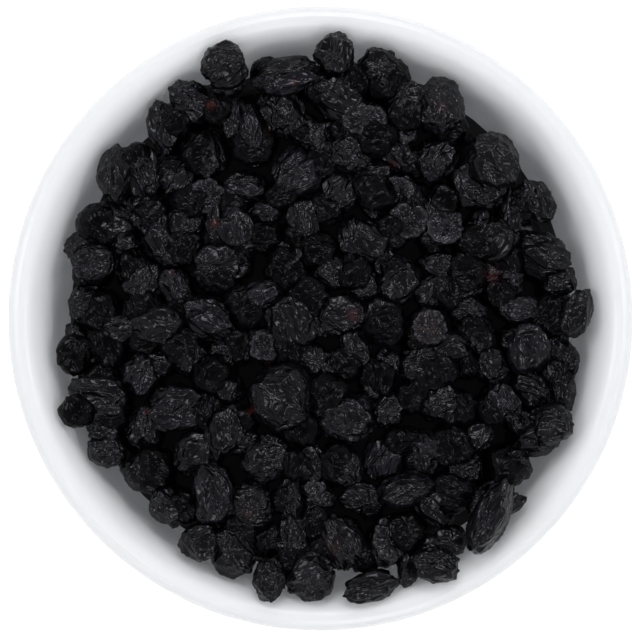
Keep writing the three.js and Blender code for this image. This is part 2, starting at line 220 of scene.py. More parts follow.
# Half-hidden berries between those above, a little deeper in the heap
BETWEEN_BERRIES = [
    (-29.8, 17, 5.8, 5.2, 90, "wrinkled"),
    (-19, 17.4, 8.1, 3.6, 90, "folded"),
    (-10, 19.2, 5.4, 4, 0, "wrinkled"),
    (-15.6, 36.1, 7.6, 4, 90, "folded"),
    (2.1, 41.5, 6.8, 4.3, 0, "wrinkled"),
    (2.6, 37.2, 5.4, 2.2, 35, "smooth"),
    (7.5, 35.7, 9, 6.8, 0, "crown"),
    (-2.4, 33, 5.4, 5, 0, "wrinkled"),
    (12.2, 30.3, 5, 3.6, 0, "wrinkled"),
    (9.3, 22.6, 6.7, 4.9, 90, "folded"),
    (19.3, 20.4, 5.4, 4, 90, "wrinkled"),
    (29.2, 16.8, 5.9, 4.9, 90, "smooth"),
    (34.1, 18.6, 9, 4, 90, "folded"),
    (-35.2, 14.1, 5.4, 4.9, 0, "wrinkled"),
    (-26.2, 11.4, 5.8, 5.4, 0, "smooth"),
    (-19.5, 10.9, 6.5, 4, 90, "wrinkled"),
    (-14.8, 9.1, 5, 3.6, 0, "folded"),
    (-13.2, 13.6, 5.8, 4.3, 0, "wrinkled"),
    (-29.8, -8.4, 5.8, 5, 0, "wrinkled"),
    (-27.1, -1.2, 4.5, 4.5, 0, "smooth"),
    (5.7, 0.6, 6.1, 6.1, 0, "crater"),
    (0.8, -0.3, 6.3, 4.7, 90, "wrinkled"),
    (11.6, 10.2, 4.7, 3.6, 90, "folded"),
    (12, -8.7, 6.8, 4.3, 90, "smooth"),
    (1.7, -7.8, 5, 4.9, 90, "wrinkled"),
    (1.7, -12, 4.5, 4, 0, "wrinkled"),
    (5.8, 15, 6.3, 5.4, 90, "folded"),
    (26.9, 7.8, 7.2, 3.6, 90, "folded"),
    (34.1, 7.8, 4.7, 4, 0, "wrinkled"),
    (41.3, 1.5, 4.9, 4, 90, "wrinkled"),
    (34.1, -3.9, 4, 3.6, 0, "smooth"),
    (41.9, -4.8, 4.5, 4.1, 90, "wrinkled"),
    (-19.3, -21.9, 8.3, 4.3, 90, "folded"),
    (-14.5, -21.9, 5.8, 4.7, 0, "wrinkled"),
    (-9.1, -23.1, 6.1, 5, 0, "wrinkled"),
    (-0.1, -32.3, 5.4, 4.3, 0, "crater"),
    (-5.8, -40.4, 6.5, 3.2, 0, "smooth"),
    (12, -39.9, 7.9, 4.7, 90, "wrinkled"),
    (26.6, -22.8, 6.3, 3.6, 0, "folded"),
    (23.3, -39.9, 5.4, 5.4, 0, "smooth"),
    (-31.6, -19.7, 7.2, 5.8, 90, "wrinkled"),
    (33.8, -30.5, 3.1, 1.6, 90, "folded"),
]

DRAW_FACTOR = 16807
DRAW_MODULUS = 2147483647


# Seeded draws between 0 and 1
class Draws:
    def __init__(self, seed):
        self.state = seed

    def share(self):
        self.state = self.state * DRAW_FACTOR % DRAW_MODULUS
        return self.state / DRAW_MODULUS

    def between(self, low, high):
        return low + (high - low) * self.share()


# Height of the bowl's inside at a radius
def wall_height(r):
    if r >= INNER_WALL[0][0]:
        return BOWL_HEIGHT
    for (r1, z1), (r2, z2) in zip(INNER_WALL, INNER_WALL[1:]):
        if r2 <= r:
            return z2 + (z1 - z2) * (r - r2) / (r1 - r2)
    return FLOOR_HEIGHT


# Height of the core, a broad ridge that falls to the left and right and creeps up at the wall
def core_height(x, y):
    share = (x * x + y * y) / FILL_REACH**2
    return CORE_TOP - CORE_FALL * (x / FILL_REACH) ** 2 + CORE_CREEP * share**3


# Lowest height of a berry's centre at which its side clears the bowl's wall
def height_at_wall(r, reach, half):
    height = 0
    for step in range(WALL_STEPS + 1):
        angle = step / WALL_STEPS * math.pi / 2
        touched = wall_height(r + reach * math.cos(angle) + GAP_TO_BOWL)
        height = max(height, touched + half * math.sin(angle))
    return height


# A berry: its size and heading, its own lean, lumps and dent, and the place of its middle
class Berry:
    def __init__(self, draws, x, y, length, width, heading, kind):
        self.x = x
        self.y = y
        self.z = 0
        self.length = length
        self.width = width
        self.kind = kind
        self.radius = (length + width) / 4
        self.half = FLATNESS * self.radius
        self.heading = math.radians(heading)
        self.tilts = [draws.between(-LARGEST_TILT, LARGEST_TILT) for _ in range(2)]
        self.phases = [draws.between(0, 2 * math.pi) for _ in LUMP_WAVES]
        self.dent = [draws.between(-DENT_LEAN, DENT_LEAN) for _ in range(2)]

    # How far the berry reaches from its middle in a direction, seen from above
    def reach_towards(self, direction):
        turn = direction - self.heading
        return math.hypot(self.length / 2 * math.cos(turn), self.width / 2 * math.sin(turn))

    # Lets the berry down until it lies on the core, the wall or the berries before it
    def let_down(self, placed):
        outward = self.reach_towards(math.atan2(self.y, self.x))
        to_wall = height_at_wall(math.hypot(self.x, self.y), outward, self.half)
        self.z = max(core_height(self.x, self.y) + SUNK * self.half, to_wall)
        for other in placed:
            direction = math.atan2(other.y - self.y, other.x - self.x)
            reach = SNUGNESS * (self.reach_towards(direction) + other.reach_towards(direction))
            apart = math.hypot(self.x - other.x, self.y - other.y)
            if apart < reach:
                rise = SNUGNESS * (self.half + other.half) * math.sqrt(1 - (apart / reach) ** 2)
                self.z = max(self.z, other.z + rise)


# The free space round a point, measured to the nearest berry's side
def clearance(x, y, berries):
    free = FILL_REACH - math.hypot(x, y)
    for berry in berries:
        free = min(free, math.hypot(x - berry.x, y - berry.y) - berry.radius)
    return free


# The place with the most free space of several that are drawn, as that space, x and y
def free_place(draws, berries, tries):
    best = (-math.inf, 0, 0)
    for _ in range(tries):
        r = FILL_REACH * math.sqrt(draws.share())
        angle = draws.between(0, 2 * math.pi)
        x = r * math.cos(angle)
        y = r * math.sin(angle)
        best = max(best, (clearance(x, y, berries), x, y), key=lambda spot: spot[0])
    return best


# Fills the widest gaps one after another
def fill_berries(draws, landmarks):
    fill = []
    for _ in range(FILL_BERRIES):
        free, x, y = free_place(draws, landmarks + fill, FILL_TRIES)
        width = min(max(2 * (free + FILL_OVERLAP), FILL_SMALLEST), FILL_LARGEST)
        length = width * draws.between(1, 1 + FILL_STRETCH)
        kind = FILL_KINDS[int(len(FILL_KINDS) * draws.share())]
        heading = draws.between(0, 360)
        fill.append(Berry(draws, x, y, length, width, heading, kind))
    return fill


# The low berries, which lie in the core, and those that the photo shows whole, which lie on them
def heap_berries():
    draws = Draws(SEED)
    landmarks = [Berry(draws, *row) for row in INNER_BERRIES + WALL_BERRIES]
    carrying = [Berry(draws, *row) for row in CARRYING_BERRIES]
    low = carrying + fill_berries(draws, landmarks)
    for berry in low:
        berry.let_down([])
    placed = list(low)
    for berry in landmarks:
        berry.let_down(placed)
        placed.append(berry)
    return low, landmarks


# How finely berries are made, in squares along each side of a cube that is blown up to a ball
TOP_FINENESS = 20
BETWEEN_FINENESS = 16
LOW_FINENESS = 13
DEEP_FINENESS = 7

# How much the ball's points are drawn towards its top, which shows most
TOPWARD = 0.4

# Digits to which two corners agree where the sides of the cube meet
CORNER_DIGITS = 6

# How many slopes the noise takes its own from, and how narrow the ridges in it are
NOISE_SLOPES = 256
RIDGE_NARROWNESS = 2.6

# Folds, wrinkles and crinkles: the millimetres between ridges, the height of each on each kind
# of berry, and how much each counts where the skin is painted as standing out
RIDGE_SPACINGS = (2.9, 1.5, 0.8)
RIDGE_HEIGHTS = {
    "wrinkled": (0.55, 0.3, 0.08),
    "smooth": (0.4, 0.14, 0.05),
    "folded": (0.75, 0.26, 0.08),
    "crater": (0.36, 0.26, 0.08),
    "crown": (0.36, 0.26, 0.08),
}
STANDING_SHARES = (0.45, 0.35, 0.3)
MOST_STANDING = 2

# Places along each kind of berry are multiplied by this, so that its ridges run along it
FURROW_STRETCH = {"wrinkled": 0.5, "smooth": 0.55, "folded": 0.3, "crater": 0.8, "crown": 1}

# How the ridges wander, and how far apart in the noise two berries may be
WARP_SPACING = 2.2
WARP = 0.8
WARP_SHIFTS = (11.3, 47.9, 83.1)
NOISE_RANGE = 200

# The flat sides of a berry, how much the edges between them stand out, and how blunt they are
FACETS = 13
FACET_DEPTH = 0.13
FACET_EDGE = 0.18

# The beaded ring of a calyx, its radius as an angle on narrow and wide berries
CROWN_WIDTHS = (5, 6.3)
CROWN_ANGLES = (0.6, 0.95)
CROWN_WIDTH = 0.13
CROWN_HEIGHT = 0.15
CROWN_HOLLOW = 0.12
CROWN_STEEPNESS = 6
CROWN_BLOOM = 1.2
CROWN_BEADS = 13
CROWN_BEAD_DEPTH = 0.25

# The faint rings round the scar of a calyx
CRATER_RINGS = 21
CRATER_RING_HEIGHT = 0.03
CRATER_REACH = 0.8
CRATER_BLOOM = 0.25

# Share of the wrinkling that is left within a calyx or scar
CALYX_CALM = 0.2

# Deep berries under all the others
DEEP_BERRIES = 110
DEEP_TRIES = 30
DEEP_SMALLEST = 5.5
DEEP_LARGEST = 8.5
DEEP_SEED = 7321

# Half-hidden berries lie this many millimetres higher than they would sink into the core
BETWEEN_LIFT = 0.5
BETWEEN_SEED = 911

# Seeds of the wrinkles, and what makes the seed of each berry from where it lies
DETAIL_SEED = 4099
PLACE_STEPS = 10
PLACE_SHIFT = 1000


# Smooth noise between about -0.7 and 0.7, in cells one unit wide
class Noise:
    def __init__(self, seed):
        random = np.random.default_rng(seed)
        self.order = random.permutation(NOISE_SLOPES)
        slopes = random.normal(size=(NOISE_SLOPES, 3))
        self.slopes = slopes / np.linalg.norm(slopes, axis=1, keepdims=True)

    def at(self, points):
        cell = np.floor(points).astype(int)
        inside = points - cell
        fade = inside**3 * (inside * (inside * 6 - 15) + 10)
        total = np.zeros(len(points))
        for corner in np.ndindex(2, 2, 2):
            corner = np.array(corner)
            weight = np.prod(np.where(corner, fade, 1 - fade), axis=1)
            here = (cell + corner) % NOISE_SLOPES
            row = self.order[(self.order[here[:, 0]] + here[:, 1]) % NOISE_SLOPES]
            slope = self.slopes[self.order[(row + here[:, 2]) % NOISE_SLOPES]]
            total += weight * np.sum(slope * (inside - corner), axis=1)
        return total

    # Narrow ridges that wander between broad hollows, from 0 to 1
    def ridges(self, points):
        return np.clip(1 - RIDGE_NARROWNESS * np.abs(self.at(points)), 0, 1) ** 2


# Directions all round, closer together towards the top, and the squares between them
def ball(fineness):
    steps = np.tan(np.linspace(-1, 1, fineness + 1) * math.pi / 4)
    places = {}
    squares = []
    directions = []
    for axis in range(3):
        for side in (-1, 1):
            grid = np.empty((fineness + 1, fineness + 1), int)
            for i, u in enumerate(steps):
                for j, v in enumerate(steps):
                    point = np.roll((side, u * side, v), axis)
                    key = tuple(np.round(point, CORNER_DIGITS))
                    if key not in places:
                        places[key] = len(directions)
                        directions.append(point)
                    grid[i, j] = places[key]
            corners = (grid[:-1, :-1], grid[1:, :-1], grid[1:, 1:], grid[:-1, 1:])
            squares.append(np.stack([corner.ravel() for corner in corners], axis=1))
    directions = np.array(directions)
    directions /= np.linalg.norm(directions, axis=1, keepdims=True)
    directions[:, 2] += TOPWARD
    directions /= np.linalg.norm(directions, axis=1, keepdims=True)
    return directions, np.concatenate(squares)


# How far a berry's skin stands out in each direction, as a share of its plain radius
def skin(n, berry):
    waves = sum(np.sin(wave * n[:, i] + berry.phases[i]) for i, wave in enumerate(LUMP_WAVES))
    dent_axis = np.array([*berry.dent, 1])
    dent_axis /= np.linalg.norm(dent_axis)
    into_dent = np.exp((n @ dent_axis - 1) / DENT_WIDTH**2)
    return 1 + LUMP * waves - DENT_DEPTH[berry.kind] * into_dent


# Blunt edges between the flat sides of a berry, 1 on an edge and less away from it
def facets(n, random):
    axes = random.normal(size=(FACETS, 3))
    axes /= np.linalg.norm(axes, axis=1, keepdims=True)
    nearness = np.sort(np.arccos(np.clip(n @ axes.T, -1, 1)), axis=1)
    between = nearness[:, 1] - nearness[:, 0]
    return np.exp(-between / FACET_EDGE)


# The ring of a calyx, or rings round the scar that it leaves: their relief, how much each point
# belongs to them, and how much of the wrinkling is left there
def calyx(n, berry):
    middle = np.array([*berry.dent, 1])
    middle /= np.linalg.norm(middle)
    side = np.cross(middle, (0, 1, 0))
    side /= np.linalg.norm(side)
    away = np.arccos(np.clip(n @ middle, -1, 1))
    around = np.arctan2(n @ np.cross(middle, side), n @ side)
    if berry.kind == "crown":
        beads = 1 - CROWN_BEAD_DEPTH + CROWN_BEAD_DEPTH * np.cos(CROWN_BEADS * around)
        angle = np.interp(berry.width, CROWN_WIDTHS, CROWN_ANGLES)
        ring = beads * np.exp(-(((away - angle) / CROWN_WIDTH) ** 2))
        within = np.exp(-((away / angle) ** CROWN_STEEPNESS))
        return CROWN_HEIGHT * ring - CROWN_HOLLOW * within, ring, 1 - (1 - CALYX_CALM) * within
    if berry.kind == "crater":
        fading = np.exp(-((away / CRATER_REACH) ** 2))
        rings = np.cos(CRATER_RINGS * away) * fading
        return CRATER_RING_HEIGHT * rings, CRATER_BLOOM * rings, 1 - (1 - CALYX_CALM) * fading
    return 0 * away, 0 * away, 1


# For each point of a berry: its place in millimetres, how much it stands on a ridge, how much it
# belongs to the ring of a calyx, and its place in the grain, in which the wrinkles are drawn
def berry_points(berry, n, noise, random):
    sizes = np.array([berry.length / 2, berry.width / 2, berry.half])
    grain = n * sizes + random.uniform(0, NOISE_RANGE, 3)
    grain = grain * (FURROW_STRETCH[berry.kind], 1, 1)
    warp = [noise.at(grain / WARP_SPACING + shift) for shift in WARP_SHIFTS]
    grain = grain + WARP * np.stack(warp, axis=1)
    ridges = [noise.ridges(grain / spacing) for spacing in RIDGE_SPACINGS]
    relief = sum(height * ridge for height, ridge in zip(RIDGE_HEIGHTS[berry.kind], ridges))
    relief = (relief - relief.mean()) / berry.radius
    edges = facets(n, random)
    relief += FACET_DEPTH * (edges - edges.mean())
    calyx_relief, ring, calm = calyx(n, berry)
    out = skin(n, berry) + relief * calm + calyx_relief
    standing = sum(share * ridge for share, ridge in zip(STANDING_SHARES, ridges))
    standing = np.clip(standing, 0, 1) * calm
    standing = np.clip(standing + CROWN_BLOOM * ring, 0, MOST_STANDING)
    placed = (n * out[:, None] * sizes) @ turned(berry).T
    return placed + (berry.x, berry.y, berry.z), standing, np.clip(ring, 0, 1), grain


# The turn of a berry: its two tilts, then its heading
def turned(berry):
    a, b = berry.tilts
    c = berry.heading
    about_x = np.array([[1, 0, 0], [0, math.cos(a), -math.sin(a)], [0, math.sin(a), math.cos(a)]])
    about_y = np.array([[math.cos(b), 0, math.sin(b)], [0, 1, 0], [-math.sin(b), 0, math.cos(b)]])
    about_z = np.array([[math.cos(c), -math.sin(c), 0], [math.sin(c), math.cos(c), 0], [0, 0, 1]])
    return about_z @ about_y @ about_x


# Round berries deep in the heap, spread evenly
def deep_berries():
    draws = Draws(DEEP_SEED)
    deep = []
    for _ in range(DEEP_BERRIES):
        _, x, y = free_place(draws, deep, DEEP_TRIES)
        width = draws.between(DEEP_SMALLEST, DEEP_LARGEST)
        berry = Berry(draws, x, y, width, width, draws.between(0, 360), "wrinkled")
        berry.let_down([])
        deep.append(berry)
    return deep


# The half-hidden berries, each a little above the core
def between_berries():
    draws = Draws(BETWEEN_SEED)
    between = [Berry(draws, *row) for row in BETWEEN_BERRIES]
    for berry in between:
        berry.let_down([])
        berry.z += BETWEEN_LIFT
    return between


# Red and brown marks on the skins, as x, y, radius in millimetres and strength
RED_MARKS = [
    (-19.7, 38.2, 0.7, 0.9), (-19, 17, 0.7, 0.9), (-4.8, 42.2, 0.6, 0.7), (-26.9, 8.2, 0.5, 0.6),
    (12.9, 27.6, 0.7, 0.5), (30.9, 7.8, 1.1, 0.7), (-9.5, -8, 0.4, 0.9), (-12.5, -16.5, 0.5, 1),
    (-31.2, -16.7, 0.5, 0.9), (5.7, 0.6, 1, 0.6), (21.7, 37.9, 0.9, 0.3),
]
BROWN_MARKS = [
    (-9.6, 33.4, 0.6, 0.6), (-12.9, -34.8, 1.1, 0.7), (6.2, -19.7, 0.5, 0.6),
    (2.4, -40.8, 1.4, 0.6), (19.2, -1.4, 2.2, 0.5),
]

# A mark reaches this many millimetres down from the highest point near it
MARK_DEPTH = 3


# A smooth object with one finish, from points in millimetres
def smooth_object(name, points, faces, finish):
    mesh = bpy.data.meshes.new(name)
    mesh.from_pydata((points * MM).tolist(), [], faces)
    mesh.shade_smooth()
    mesh.materials.append(finish)
    made = bpy.data.objects.new(name, mesh)
    bpy.context.scene.collection.objects.link(made)
    return made


# A mesh piece made of many berries
def berry_piece(name, berries, fineness, noise, finish):
    directions, squares = ball(fineness)
    points = []
    faces = []
    standing = []
    rings = []
    grain = []
    tone = []
    for i, berry in enumerate(berries):
        place = [int(PLACE_SHIFT + PLACE_STEPS * along) for along in (berry.x, berry.y)]
        random = np.random.default_rng([DETAIL_SEED, *place])
        placed, ridge, ring, along = berry_points(berry, directions, noise, random)
        points.append(placed)
        standing.append(ridge)
        rings.append(ring)
        grain.append(along)
        tone.append(np.full(len(ridge), random.uniform()))
        faces.append(squares + i * len(directions))
    points = np.concatenate(points)
    piece = smooth_object(name, points, np.concatenate(faces).tolist(), finish)
    paint(piece, "ridge", np.concatenate(standing))
    paint(piece, "tone", np.concatenate(tone))
    paint(piece, "ring", np.concatenate(rings))
    paint(piece, "grain", np.concatenate(grain), "FLOAT_VECTOR", "vector")
    paint(piece, "red", marks_at(points, RED_MARKS))
    paint(piece, "brown", marks_at(points, BROWN_MARKS))
    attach(piece, "root")
    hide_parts("dried_blueberries")


# Keeps a number or a vector for each point of a piece, for its finish to read
def paint(piece, name, values, kind="FLOAT", field="value"):
    layer = piece.data.attributes.new(name, kind, "POINT")
    layer.data.foreach_set(field, np.ascontiguousarray(values.ravel(), dtype=np.float32))


# How strongly each point bears one of the marks
def marks_at(points, marks):
    marked = np.zeros(len(points))
    for x, y, radius, strength in marks:
        away = np.hypot(points[:, 0] - x, points[:, 1] - y)
        near = strength * np.exp(-((away / radius) ** 2))
        top = points[away < 2 * radius, 2]
        if len(top):
            near *= points[:, 2] > top.max() - MARK_DEPTH
        marked = np.maximum(marked, near)
    return marked


# Shader values that can be added, multiplied and so on
class Value:
    def __init__(self, finish, socket):
        self.finish = finish
        self.socket = socket

    def maths(self, operation, left, right):
        made = self.finish.node("ShaderNodeMath", {"operation": operation}, {0: left, 1: right})
        return Value(self.finish, made.outputs[0])

    def __add__(self, other):
        return self.maths("ADD", self, other)

    def __sub__(self, other):
        return self.maths("SUBTRACT", self, other)

    def __rsub__(self, other):
        return self.maths("SUBTRACT", other, self)

    def __mul__(self, other):
        return self.maths("MULTIPLY", self, other)

    __radd__ = __add__
    __rmul__ = __mul__


# Shader noise with sharp ridges, the offset that brings them out, and the middle of plain noise
RIDGED = "RIDGED_MULTIFRACTAL"
RIDGED_OFFSET = 1
NOISE_MIDDLE = 0.5

# Sockets of the mix node that carry colours
FIRST_COLOUR = 6
SECOND_COLOUR = 7
MIXED_COLOUR = 2


# A surface finish, built from shader nodes
class Finish:
    def __init__(self, name, sockets):
        self.material = bpy.data.materials.new(name)
        self.material.use_nodes = True
        self.tree = self.material.node_tree
        self.surface = self.tree.nodes["Principled BSDF"]
        self.fill(self.surface, sockets)

    def fill(self, node, sockets):
        for name, value in sockets.items():
            socket = node.inputs[name]
            if isinstance(value, Value):
                self.tree.links.new(value.socket, socket)
            else:
                socket.default_value = value

    def node(self, kind, settings, sockets):
        made = self.tree.nodes.new(kind)
        for name, value in settings.items():
            setattr(made, name, value)
        self.fill(made, sockets)
        return made

    def value(self, node, output=0):
        return Value(self, node.outputs[output])

    # What paint() kept for each point under a name
    def painted(self, name, output="Fac"):
        return self.value(self.node("ShaderNodeAttribute", {"attribute_name": name}, {}), output)

    # Noise around 0.5, or from 0 up where it is ridged, with features of a size in millimetres,
    # in the places of the grain where one is given
    def mottle(self, size, detail, kind="FBM", bend=0, grain=None):
        place = grain or self.value(self.node("ShaderNodeTexCoord", {}, {}), "Object")
        scale = 1 / size if grain else 1 / (size * MM)
        sockets = {"Vector": place, "Scale": scale, "Detail": detail, "Distortion": bend}
        if kind == RIDGED:
            sockets["Offset"] = RIDGED_OFFSET
        return self.value(self.node("ShaderNodeTexNoise", {"noise_type": kind}, sockets), "Fac")

    # Thin wandering lines a distance in millimetres apart, 1 along each line and 0 between them
    def lines(self, size, width, grain):
        away = self.mottle(size, 1, grain=grain) - NOISE_MIDDLE
        return self.clamped(away.maths("ABSOLUTE", away, 0), width, 0)

    def blend(self, amount, first, second):
        sockets = {"Factor": amount, FIRST_COLOUR: first, SECOND_COLOUR: second}
        mixed = self.node("ShaderNodeMix", {"data_type": "RGBA"}, sockets)
        return self.value(mixed, MIXED_COLOUR)

    # Where a value lies between two others, from 0 to 1
    def clamped(self, value, low, high):
        sockets = {"Value": value, "From Min": low, "From Max": high}
        return self.value(self.node("ShaderNodeMapRange", {}, sockets))

    def bumped(self, height, depth, strength):
        sockets = {"Height": height, "Distance": depth * MM, "Strength": strength}
        return self.value(self.node("ShaderNodeBump", {}, sockets))


# The skin's colours, all of them dark: painted shade in its creases, its flesh, and where its
# bloom is left
CREASE_SHADE = (0.0006, 0.0006, 0.0008)
BLACK_FLESH = (0.0035, 0.0034, 0.0038)
BLUE_FLESH = (0.005, 0.005, 0.008)
BLOOM = (0.025, 0.024, 0.03)
RING_BLOOM = (0.038, 0.037, 0.042)
BROWN = (0.032, 0.016, 0.011)
RED = (0.07, 0.014, 0.014)

# How the skin reflects, on the berries that show and on the deep ones, and the share of its
# lightness that the deep ones keep, painted shade deep in the heap
SKIN_IOR = 1.45
SKIN_TINT = (0.94, 0.92, 1, 1)
TOP_SHINE = 0.33
DEEP_SHINE = 0.12
DEEP_SHADE_LIGHTNESS = 0.5
DULL_ROUGHNESS = 0.19
GLOSS_DROP = 0.1
PATCH_RISE = 0.08

# Crinkles finer than the mesh holds, as size, detail and bend, and the heights between which they
# go from creases painted in shade to shining crests
COARSE_CRINKLE = (1.5, 1, 0.5)
FINE_CRINKLE = (0.75, 0, 0.3)
FINE_CRINKLE_SHARE = 0.5
CRINKLE_DEPTH = 0.11
CREST_RANGE = (0.85, 1.5)

# Threads of bloom, as millimetres between them and width
WIDE_THREADS = (1.5, 0.1)
FINE_THREADS = (0.8, 0.1)
FINE_THREADS_SHARE = 0.6

# Speckles and patches, as size and detail, and how the speckles break up rings and marks
SPECKLE = (0.5, 4)
PATCH = (3.0, 2)
UNEVEN_RANGE = (0.35, 0.6)

# How much the ridges, threads, patches, speckles and each berry's tone add to the bloom
BLOOM_SHARES = (0.8, 0.4, 0.6, 0.4, 0.3)
BLOOM_RANGE = (1.5, 2.6)


# Black skin with a little bluish bloom on its ridges, painted shade in its creases, and with the
# marks painted on it
def dried_skin(name, lightness, shine):
    sheen = {"IOR": SKIN_IOR, "Specular IOR Level": shine, "Specular Tint": SKIN_TINT}
    finish = Finish(name, sheen)
    ridge = finish.painted("ridge")
    tone = finish.painted("tone")
    grain = finish.painted("grain", "Vector")
    size, detail, bend = COARSE_CRINKLE
    crinkle = finish.mottle(size, detail, RIDGED, bend, grain)
    size, detail, bend = FINE_CRINKLE
    crinkle += FINE_CRINKLE_SHARE * finish.mottle(size, detail, RIDGED, bend, grain)
    crests = finish.clamped(crinkle, *CREST_RANGE)
    speckle = finish.mottle(*SPECKLE)
    patch = finish.mottle(*PATCH)
    flesh = finish.blend(tone, shaded(BLACK_FLESH, lightness), shaded(BLUE_FLESH, lightness))
    # Between the crinkles' crests the flesh darkens to painted shade
    flesh = finish.blend(crests, shaded(CREASE_SHADE, lightness), flesh)
    threads = finish.lines(*WIDE_THREADS, grain)
    threads += FINE_THREADS_SHARE * finish.lines(*FINE_THREADS, grain)
    layers = (ridge, threads, patch, speckle, tone)
    first, *others = [layer * share for layer, share in zip(layers, BLOOM_SHARES)]
    bloom = finish.clamped(sum(others, first), *BLOOM_RANGE)
    colour = finish.blend(bloom, flesh, shaded(BLOOM, lightness))
    uneven = finish.clamped(speckle, *UNEVEN_RANGE)
    colour = finish.blend(finish.painted("ring") * uneven, colour, shaded(RING_BLOOM, lightness))
    colour = finish.blend(finish.painted("brown") * uneven, colour, shaded(BROWN))
    colour = finish.blend(finish.painted("red") * uneven, colour, shaded(RED))
    normal = finish.bumped(crinkle, CRINKLE_DEPTH, 1)
    rough = DULL_ROUGHNESS - GLOSS_DROP * crests + PATCH_RISE * patch
    finish.fill(finish.surface, {"Base Color": colour, "Roughness": rough, "Normal": normal})
    return finish.material


# A colour at a share of its lightness
def shaded(colour, lightness=1):
    return (*(channel * lightness for channel in colour), 1)


# White glaze over porcelain that lets a little light through, and what varies in it: a cloud in
# its colour, smears in its gloss and ripples in its surface, each as size and detail
GLAZE = {
    "IOR": 1.5, "Specular IOR Level": 0.35, "Subsurface Weight": 0.7,
    "Subsurface Radius": (0.97, 0.98, 1), "Subsurface Scale": 5.5 * MM,
}
BLUISH_WHITE = (0.88, 0.882, 0.905)
PLAIN_WHITE = (0.9, 0.902, 0.915)
CLOUD = (22, 2)
GLAZE_ROUGHNESS = 0.22
SMEAR_ROUGHNESS = 0.06
SMEAR = (6, 2)
RIPPLE = (14, 1)
RIPPLE_DEPTH = 0.06
RIPPLE_STRENGTH = 0.5


def white_glaze():
    finish = Finish("white_glaze", GLAZE)
    cloud = finish.mottle(*CLOUD)
    colour = finish.blend(cloud, shaded(BLUISH_WHITE), shaded(PLAIN_WHITE))
    rough = GLAZE_ROUGHNESS + SMEAR_ROUGHNESS * finish.mottle(*SMEAR)
    normal = finish.bumped(finish.mottle(*RIPPLE), RIPPLE_DEPTH, RIPPLE_STRENGTH)
    finish.fill(finish.surface, {"Base Color": colour, "Roughness": rough, "Normal": normal})
    return finish.material


# Smooth curve through rows of radius and height
def smooth_profile(rows, steps):
    rows = np.array(rows, float)
    padded = np.vstack([2 * rows[0] - rows[1], rows, 2 * rows[-1] - rows[-2]])
    curve = []
    for before, start, end, after in zip(padded, padded[1:], padded[2:], padded[3:]):
        for step in range(steps):
            t = step / steps
            bend = 2 * start + (end - before) * t
            bend += (2 * before - 5 * start + 4 * end - after) * t**2
            bend += (3 * start - before - 3 * end + after) * t**3
            curve.append(bend / 2)
    curve.append(rows[-1])
    return np.array(curve)


# The bowl's section, from the middle of the foot's recess round the lip to the middle of the floor
def bowl_section():
    lip_r = BOWL_DIAMETER / 2 - LIP_RADIUS
    lip_z = BOWL_HEIGHT - LIP_RADIUS
    lip = [
        (lip_r + LIP_RADIUS * math.cos(turn), lip_z + LIP_RADIUS * math.sin(turn))
        for turn in np.linspace(LIP_START, LIP_END, LIP_ROWS)
    ]
    inside = [*GLAZED_WALL, *INNER_WALL[len(GLAZED_WALL):], (END_RADIUS, FLOOR_HEIGHT)]
    return smooth_profile([*FOOT, *OUTER_WALL, *lip, *inside], STEPS_BETWEEN_ROWS)


# The section turned round the bowl's axis
def bowl_piece(finish):
    section = bowl_section()
    turns = np.linspace(0, 2 * math.pi, BOWL_SIDES, endpoint=False)
    r = section[:, 0][:, None]
    z = section[:, 1][:, None] + 0 * turns
    points = np.stack([r * np.cos(turns), r * np.sin(turns), z], axis=2)
    rows = len(section)
    index = np.arange(rows * BOWL_SIDES).reshape(rows, BOWL_SIDES)
    onward = np.roll(index, -1, axis=1)
    faces = np.stack([index[:-1], onward[:-1], onward[1:], index[1:]], axis=2).reshape(-1, 4)
    faces = faces.tolist() + [index[0][::-1].tolist(), index[-1].tolist()]
    piece = smooth_object("bowl_glazed", points.reshape(-1, 3), faces, finish)
    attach(piece, "root")
    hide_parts("bowl")


# The bed under the deep berries, a dark sheet of painted shade in their darkened skin, a little
# below the top of the core and lower at its edge
BED_RADIUS = 45.5
BED_DEPTH = 2
BED_HEM = 3
BED_RINGS = 12
BED_SIDES = 48


def shade_bed_piece(finish):
    points = [(0, 0, core_height(0, 0) - BED_DEPTH)]
    for ring in range(1, BED_RINGS + 1):
        hem = BED_HEM * (ring == BED_RINGS)
        for side in range(BED_SIDES):
            angle = 2 * math.pi * side / BED_SIDES
            x = BED_RADIUS * ring / BED_RINGS * math.cos(angle)
            y = BED_RADIUS * ring / BED_RINGS * math.sin(angle)
            points.append((x, y, core_height(x, y) - BED_DEPTH - hem))
    faces = []
    for side in range(BED_SIDES):
        onward = (side + 1) % BED_SIDES
        faces.append((0, 1 + side, 1 + onward))
        for ring in range(BED_RINGS - 1):
            a = 1 + ring * BED_SIDES
            b = a + BED_SIDES
            faces.append((a + side, b + side, b + onward, a + onward))
    outermost = 1 + (BED_RINGS - 1) * BED_SIDES
    faces.append([outermost + side for side in reversed(range(BED_SIDES))])
    piece = smooth_object("berry_shade_bed", np.array(points), faces, finish)
    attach(piece, "root")
    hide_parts("dried_blueberries")


# Rings of the heap, as inner and outer radius and the number of sectors that each is cut into
HEAP_RINGS = [(0, 17, 4), (17, 33, 7), (33, 60, 11)]


# Berries sorted into the sectors of the rings, each of which is one piece
def sorted_berries(berries):
    for ring, (inner, outer, sectors) in enumerate(HEAP_RINGS):
        for sector in range(sectors):
            chosen = []
            for berry in berries:
                turn = math.atan2(berry.y, berry.x) % (2 * math.pi)
                in_sector = int(turn / (2 * math.pi) * sectors) == sector
                if inner <= math.hypot(berry.x, berry.y) < outer and in_sector:
                    chosen.append(berry)
            if chosen:
                yield "%d_%02d" % (ring, sector), chosen


